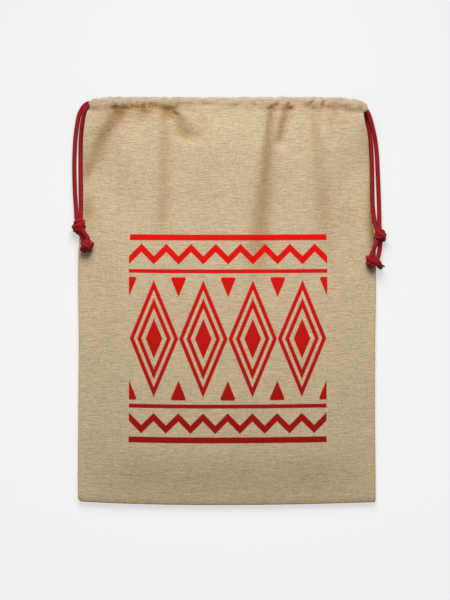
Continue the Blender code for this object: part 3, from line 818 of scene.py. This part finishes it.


# painted shade in the cloth, in its folds and creases, along the channel and beside the cords.
# Most are marks with a middle, a reach and a darkness: along the channel in x, above the
# channel's foot, or in from the right edge and then in y
shadeSettings = {
    "overall": 1.35, "trough": 0.095, "troughTight": 1.1, "troughLeft": 0.2,
    "sideFade": (-2, 4), "topFade": (4, 6),
    "crease": 0.80, "mottle": 0.85, "mottleWave": Wave(1.9, 1.3, 12.3, 0.9),
    "streak": 0.30, "streakWaves": [Wave(4.2, 1.6, 15.1, 0.3), Wave(1.9, 9, 17.3, 0.36)],
    "gathers": [(-82, 36, 1), (50, 16, 0.5), (106, 28, 0.42)],
    "band": (4.7, 4.4, 1), "bandAll": 0.05, "crown": (7.4, 2.2, 0.15),
    "underBand": (-3.5, 6, 0.20),
    "rightEdge": (0, 7, 0.20), "edgeSpan": (20, 40, 186, 10),
    "underKnot": [(1, 5, 0.55), (66, 20, 1)],
    "rightSeam": [(0, 2, 0.40), (84, 26, 1)],
    "leftFold": [(-141, 6, 0.30), (96, 12, 1)], "foot": (0, 4.5, 0.26),
}


def mark(at, middle, reach, dark):
    return dark * bell((at - middle) / reach)


# how much painted shade a place has, from 0 to 1
def frontPaintedShade(x, y, s=shadeSettings):
    left, right = outline(y)
    side = min(x - left, right - x)
    up = y + droop(x) - cloth["stitch"]
    (start, over), (top, below) = s["sideFade"], s["topFade"]
    fade = ease((side - start) / over) * ease((top - up) / below)
    dark = 0.0
    for trough in troughs:
        deep, away = troughHere(trough, x, y)
        shade = s["trough"] * bell(away * s["troughTight"] + s["troughLeft"])
        dark += max(deep, 0.0) * fade * shade
    dark += s["crease"] * drawnIn(x, y) * (s["mottle"] + waveAt(s["mottleWave"], x, y))
    gathered = sum(mark(x, *gather) for gather in s["gathers"])
    streaks = s["streak"] + sum(waveAt(wave, x, y) for wave in s["streakWaves"])
    band = mark(up, *s["band"])
    dark += band * gathered * streaks + s["bandAll"] * band
    dark += mark(up, *s["crown"]) + gathered * mark(up, *s["underBand"])
    # painted shade down the right edge, painted shadow of the cords beside the knots and the left
    # strands, and painted shade along the foot
    low, rise, high, fall = s["edgeSpan"]
    dark += mark(right - x, *s["rightEdge"]) * ease((y - low) / rise) * ease((high - y) / fall)
    for inwards, upwards in (s["underKnot"], s["rightSeam"]):
        dark += mark(right - x, *inwards) * mark(y, *upwards)
    sideways, upwards = s["leftFold"]
    dark += mark(x, *sideways) * mark(y, *upwards) + mark(y - bottom(x), *s["foot"])
    return min(max(s["overall"] * dark, 0.0), 1.0)


# how far the channel's outer cloth stands out, pinched in places
def channelBulge(x, y):
    full = cloth["full"] + sum(waveAt(wave, x, y) for wave in bulgeWaves)
    return cloth["bulge"] * (full - cloth["pinch"] * min(drawnIn(x, y), cloth["pinchMost"]))


# the channel's section: y, rise above the cord lane, the way out of it and the share turned over
def channelLoop(step, lift):
    s = cloth
    radius = s["laneRadius"]
    foot = s["layer"] - radius + lift
    loop = [(s["stitch"], lift - radius, 0, -1)]
    loop += [(lane, -radius, 0, -1) for lane in (s["lowerLane"], s["upperLane"])]
    for degrees in range(step, 180, step):
        outY, outZ = math.sin(math.radians(degrees)), -math.cos(math.radians(degrees))
        loop.append((s["upperLane"] + radius * outY, radius * outZ, outY, outZ))
    crown = (s["upperLane"], (s["upperLane"] + s["crownEnd"]) / 2)
    loop += [(lane, radius, 0, 1) for lane in crown]
    for k in range(11):
        out = 1 - ease(k / 10)
        loop.append((blend(s["crownEnd"], s["stitch"], k / 10), blend(foot, radius, out), 0, out))
    return loop


# grid lines at one edge, from the turned-in allowance round the fold to the outer cloth
Line = namedtuple("Line", "kind at level flat")


def edgeLines(kind):
    lines = [Line(kind, at, 1.0, -at - 2.0) for at in cloth["allowance"]]
    for degrees in (180, 150, 120, 90, 60, 30, 0):
        a = math.radians(degrees)
        at = cloth["fold"] * (1 - math.sin(a))
        lines.append(Line(kind, at, (1 - math.cos(a)) / 2, -cloth["fold"] * a))
    return lines


def columnLines(count):
    low, high = cloth["inset"], 2 * cloth["halfWidth"] - cloth["inset"]
    middle = [Line("share", i / count, 0.0, blend(low, high, i / count)) for i in range(count + 1)]
    right = [line._replace(flat=low + high - line.flat) for line in edgeLines("right")[::-1]]
    return edgeLines("left") + middle + right


def columnX(column, y):
    left, right = outline(y)
    left += cloth["proud"]
    right -= cloth["proud"]
    if column.kind == "left":
        return left + column.at
    if column.kind == "right":
        return right - column.at
    return blend(left + cloth["inset"], right - cloth["inset"], column.at)


# a point of the open cloth or of its turned-in allowances, which lie under the cloth over them
def bodyPoint(column, row, s):
    top, rim = cloth["stitch"], cloth["rim"]
    x = columnX(column, row.at * (top + rim) - rim if row.kind == "body" else row.at - rim)
    low = bottom(x)
    y = blend(low, top - droop(x), row.at) if row.kind == "body" else low + row.at
    if column.kind != "share":
        x = columnX(column, y)
    left, right = outline(y)
    near = left + cloth["proud"] + cloth["fold"]
    far = right - cloth["proud"] - cloth["fold"]
    overX = min(max(x, near), far)
    if column.level > 0:
        overX = near if column.kind == "left" else far
    overY = low + cloth["fold"] if row.level > 0 else y
    inward = cloth["layer"] * (-1 if s["over"] else 1)
    return x, y, s["heightAt"](overX, overY) + inward * max(column.level, row.level)


# a point of the channel. hem: 0 on its outer cloth, 1 on the hem turned inside, which is narrower
def channelPoint(column, entry, hem, s):
    y, rise, outY, outZ = entry
    left, right = outline(y)
    base = outline(cloth["stitch"])
    share = (columnX(column, cloth["stitch"]) - base[0]) / (base[1] - base[0])
    if column.kind != "share":
        share = 0.0 if column.kind == "left" else 1.0
    x = blend(blend(left, -cloth["hemEnd"], hem), blend(right, cloth["hemEnd"], hem), share)
    out = s["bulgeAt"](x, y - droop(x)) * (1 - hem) if outZ > -0.9 else 0.0
    scallop = max(outY, 0.0) * waveAt(scallopWave, x, 0.4)
    foot = 0.0
    if outZ < 0.0:
        foot = 1.0 if y <= cloth["stitch"] else 0.0
    elif outY == 0.0:
        foot = max(0.0, (cloth["crownEnd"] - y) / (cloth["crownEnd"] - cloth["stitch"]))
    sunk = (s["dipAt"](x, cloth["stitch"] - droop(x)) + s["lessLift"](x)) * ease(foot) ** 1.5
    y = y - droop(x) + outY * out * cloth["bulgeUp"] + scallop
    return x, y, s["laneAt"](x) + rise + outZ * out - sunk


# a panel's rows of points, from the foot over the channel to the hem's end
def panelGrid(columns, s):
    rows = edgeLines("foot") + [Line("foot", at, 0.0, at) for at in cloth["footRows"]]
    for i in range(s["rows"] + 1):
        share = blend(cloth["firstRow"], 1.0, 1 - (1 - i / s["rows"]) ** s["crowding"])
        rows.append(Line("body", share, 0.0, 0.0))
    grid = [[bodyPoint(column, row, s) for column in columns] for row in rows]
    loop = channelLoop(s["turnStep"], cloth["lift"] if s["over"] else 0.0)
    if s["over"]:
        loop.reverse()
    turning = [i for i, entry in enumerate(loop) if entry[0] > cloth["upperLane"] + 0.1]
    for i, entry in enumerate(loop[1:], 1):
        hem = min(max((i - turning[0] + 1) / (len(turning) + 1), 0.0), 1.0)
        rows.append(Line("channel", entry[0], 0.0, 0.0))
        grid.append([channelPoint(column, entry, hem, s) for column in columns])
    tail = [(x, y - cloth["hemTail"]) for x, y, z in grid[-1]]
    rows.append(Line("channel", cloth["stitch"], 0.0, 0.0))
    grid.append([(x, y, s["hemAt"](x, y)) for x, y in tail])
    return rows, grid


# whether there is cloth here: the allowances are cut away at the corners and in the channel
def hasCloth(a, b, low, high):
    def clear(first, second, kind):
        return first.kind == second.kind == kind and first.at > cut and second.at < 1 - cut

    cut = cloth["cornerCut"]
    side, foot = max(a.level, b.level), max(low.level, high.level)
    turnedSide = side > 0.99 or (high.kind == "channel" and side > 0)
    turnedFoot = min(low.level, high.level) > 0.99
    if turnedSide and not clear(low, high, "body") or turnedFoot and not clear(a, b, "share"):
        return False
    return min(side, foot) <= 0.2 or max(side, foot) <= 0.55


# one panel, meshed and thickened. flat: the place in the flat cloth, for the weave, and the painted
# shade
def makePanel(name, s, material):
    columns = columnLines(s["columns"])
    rows, grid = panelGrid(columns, s)
    middle = [Vector(points[len(points) // 2]) for points in grid]
    flatY = [0.0]
    for a, b in zip(middle, middle[1:]):
        flatY.append(flatY[-1] + (b - a).length)
    foot = flatY[len(edgeLines("foot")) - 1]

    shape = bmesh.new()
    flat = shape.verts.layers.float_vector.new("flat")
    rimShade = shape.verts.layers.float.new("rimShade")
    made = {}

    def vertex(j, i):
        if (j, i) not in made:
            x, y, z = grid[j][i]
            made[j, i] = shape.verts.new(Vector((x, y, z)) * mm)
            flatX = columns[i].flat - cloth["halfWidth"]
            # the third value is the painted shade of folds and creases
            made[j, i][flat] = (flatX, flatY[j] - foot, s["paintedShadeAt"](x, y))
            # painted shade along the channel's rim
            made[j, i][rimShade] = ease((y + droop(x) - cloth["rimShadeFrom"]) / cloth["rimShadeOver"])
        return made[j, i]

    for j, (low, high) in enumerate(zip(rows, rows[1:])):
        for i, (a, b) in enumerate(zip(columns, columns[1:])):
            if hasCloth(a, b, low, high):
                corners = [(j, i), (j, i + 1), (j + 1, i + 1), (j + 1, i)]
                shape.faces.new([vertex(*corner) for corner in corners])
    panel = addObject(name, shape, material)
    thick = panel.modifiers.new("thickness", "SOLIDIFY")
    thick.thickness = cloth["thick"] * mm
    thick.offset = 0.0
    thick.use_quality_normals = True
    return panel


# the front panel: its hem hangs under the cloth, inside the sack
frontSettings = {
    "columns": 212, "rows": 138, "crowding": 1.25, "turnStep": 15, "over": True,
    "heightAt": frontHeight, "laneAt": frontLane, "bulgeAt": channelBulge, "dipAt": dipAt,
    "lessLift": lambda x: cloth["lift"] - liftAt(x),
    "hemAt": lambda x, y: frontHeight(x, y, False) - cloth["layer"] - cloth["hemSag"],
    "paintedShadeAt": frontPaintedShade,
}
frontCloth = makePanel("frontCloth", frontSettings, printedBurlap)
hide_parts("front_panel")
print("front cloth done")


def flatCloth(*place):
    return 0.0


# the back panel lies on the surface, and its allowances turn up
backSettings = {
    "columns": 60, "rows": 60, "crowding": 1.15, "turnStep": 20, "over": False,
    "heightAt": lambda x, y: cloth["thick"] / 2, "laneAt": lambda x: cloth["backLane"],
    "bulgeAt": flatCloth, "dipAt": flatCloth, "lessLift": flatCloth, "paintedShadeAt": flatCloth,
    "hemAt": lambda x, y: cloth["thick"] / 2 + cloth["layer"],
}
backCloth = makePanel("backCloth", backSettings, plainBurlap)
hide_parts("back_panel")
print("back cloth done")


# the drawcords' stretches inside the channels
runRadius = 2.15  # a little thin, to stay clear of the cloth
runs = {
    "runLeft": {"node": "cord_left_run", "start": -126, "turn": 124, "lane": 196.8, "lower": 0.3},
    "runRight": {"node": "cord_right_run", "start": 126, "turn": -127, "lane": 200.9, "lower": 0.1},
}


def runPoints(s, steps=40):
    way = 1 if s["turn"] > s["start"] else -1
    xs = [blend(s["start"], s["turn"], k / steps) for k in range(steps + 1)]
    points = [(x, s["lane"] - droop(x), frontLane(x) - s["lower"]) for x in xs]
    high, low = points[-1][2], cloth["backLane"]
    middle, radius = (high + low) / 2, (high - low) / 2
    for degrees in range(15, 180, 15):
        a = math.radians(degrees)
        x = s["turn"] + way * radius * math.sin(a)
        points.append((x, s["lane"] - droop(x), middle + radius * math.cos(a)))
    points += [(x, s["lane"] - droop(x), low) for x in xs[::-1]]
    return [Vector(point) for point in points]


def makeRuns():
    for name, s in runs.items():
        run = tubeObject(name, [{"points": runPoints(s), "radius": runRadius}], redCord)
        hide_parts(s["node"])


makeRuns()
print("cord runs done")


# stitches along the foot of the channel, through all its layers
stitchSettings = {
    "from": -136, "to": 136, "pitch": 3.4, "length": 2.3, "radius": 0.24, "up": 0.7,
    "uneven": Wave(1 / 1.7, 1, 4.4, 0.4), "sway": Wave(6, 1, 9.1, 0.25),
    "raise": 0.05, "points": 6, "arch": 0.9, "dive": 2.2,
}


def stitchTubes(s):
    tubes = []
    for k in range(round((s["to"] - s["from"]) / s["pitch"])):
        start = s["from"] + k * s["pitch"] + waveAt(s["uneven"], k, 0.3)
        points = []
        for step in range(s["points"]):
            share = step / (s["points"] - 1)
            x = start + s["length"] * share
            y = cloth["stitch"] + s["up"] - droop(x) + waveAt(s["sway"], x, 1.2)
            z = frontLane(x) + cloth["layer"] - cloth["laneRadius"] + liftAt(x) + cloth["thick"] / 2
            z += s["raise"] - dipAt(x, cloth["stitch"] - droop(x))
            z += s["radius"] * (s["arch"] - s["dive"] * (2 * share - 1) ** 2)
            points.append(Vector((x, y, z)))
        tubes.append({"points": points, "radius": s["radius"], "sides": 6})
    return tubes


channelStitches = tubeObject("channelStitches", stitchTubes(stitchSettings), tanThread)
print("stitches done")


# loose fibres that stand out of the rim and the folded edges
fuzzSettings = {
    "rimCount": 900, "sideCount": 260, "radius": 0.05, "length": (0.3, 1.3), "seed": 7,
    "rimX": (-136, 134), "rimTurn": (0.5, 2.2), "sideY": (-195, 150),
    "sideRise": (-0.2, 0.8), "lean": 0.7, "curl": 0.5, "above": 0.4, "inside": 0.3,
}


def fuzzTubes(s):
    chance = np.random.default_rng(s["seed"])
    tubes = []
    for k in range(s["rimCount"] + s["sideCount"]):
        long = chance.uniform(*s["length"])
        if k < s["rimCount"]:
            x = chance.uniform(*s["rimX"])
            a = chance.uniform(*s["rimTurn"])
            out = Vector((0, math.sin(a), -math.cos(a)))
            bulge = channelBulge(x, cloth["upperLane"] + 2.0)
            reach = cloth["laneRadius"] + cloth["bulgeUp"] * bulge + s["above"]
            start = Vector((x, cloth["upperLane"] - droop(x), frontLane(x))) + out * reach
        else:
            y = chance.uniform(*s["sideY"])
            side = chance.choice((-1, 1))
            left, right = outline(y)
            x = left + s["inside"] if side < 0 else right - s["inside"]
            out = Vector((side, 0, chance.uniform(*s["sideRise"]))).normalized()
            start = Vector((x, y, cloth["edgeHeight"] - s["inside"]))
        lean = Vector(chance.normal(0, 1, 3)) * s["lean"]
        curl = Vector(chance.normal(0, 1, 3)) * s["curl"]
        points = []
        for t in (0.0, 0.35, 0.7, 1.0):
            points.append(start + (out + lean * t) * long * t + curl * long * t * t)
        tubes.append({"points": points, "radius": s["radius"], "sides": 3})
    return tubes


edgeFibres = tubeObject("edgeFibres", fuzzTubes(fuzzSettings), greyFibre)
print("fibres done")


# floor and light: the floor's own glow falls off up the picture, in metres from its middle
lightSettings = {
    "floorSize": 12.0, "floorLevel": -0.0002, "floorColour": (0.32, 0.32, 0.312, 1),
    "floorGlow": 0.541, "glowSlope": -0.403, "glowCurve": -0.53, "glowReach": 0.4,
    "key": {"at": (0.0, 0.90, 0.80), "size": 0.75, "power": 21.3, "colour": (0.99, 1.0, 1.05)},
    "fill": {"at": (0.1, -1.4, 1.9), "size": 1.8, "power": 1.0, "colour": (1.0, 1.0, 1.0)},
    "sky": 0.269, "skyColour": (1.01, 1.0, 0.96, 1),
}


def aimedLight(name, s):
    data = bpy.data.lights.new(name, "AREA")
    data.size = s["size"]
    data.energy = s["power"]
    data.color = s["colour"]
    light = placeObject(name, data, s["at"])
    light.rotation_euler = (-Vector(s["at"])).to_track_quat("-Z", "Y").to_euler()


def makeStage(s):
    bpy.ops.mesh.primitive_plane_add(size=s["floorSize"], location=(0, 0, s["floorLevel"]))
    floor = bpy.context.object
    floor.name = "floor"
    material, shader, wire = startMaterial("paleFloor", 1.0, specular=0.0)
    shader.inputs["Base Color"].default_value = s["floorColour"]
    shader.inputs["Emission Strength"].default_value = 1.0
    y = wire.node("ShaderNodeTexCoord", {}, {}, "Object").split()[1]
    y = y.math("MAXIMUM", -s["glowReach"]).math("MINIMUM", s["glowReach"])
    glow = y * (y * s["glowCurve"] + s["glowSlope"]) + s["floorGlow"]
    grey = wire.node("ShaderNodeCombineColor", {}, {0: glow, 1: glow, 2: glow})
    wire.tree.links.new(grey.socket, shader.inputs["Emission Color"])
    floor.data.materials.append(material)
    aimedLight("keyLight", s["key"])
    aimedLight("fillLight", s["fill"])
    world = bpy.data.worlds.new("softRoom")
    world.use_nodes = True
    background = world.node_tree.nodes["Background"]
    background.inputs["Color"].default_value = s["skyColour"]
    background.inputs["Strength"].default_value = s["sky"]
    scene.world = world
    scene.view_settings.view_transform = "Standard"


makeStage(lightSettings)
print("stage and lights done")
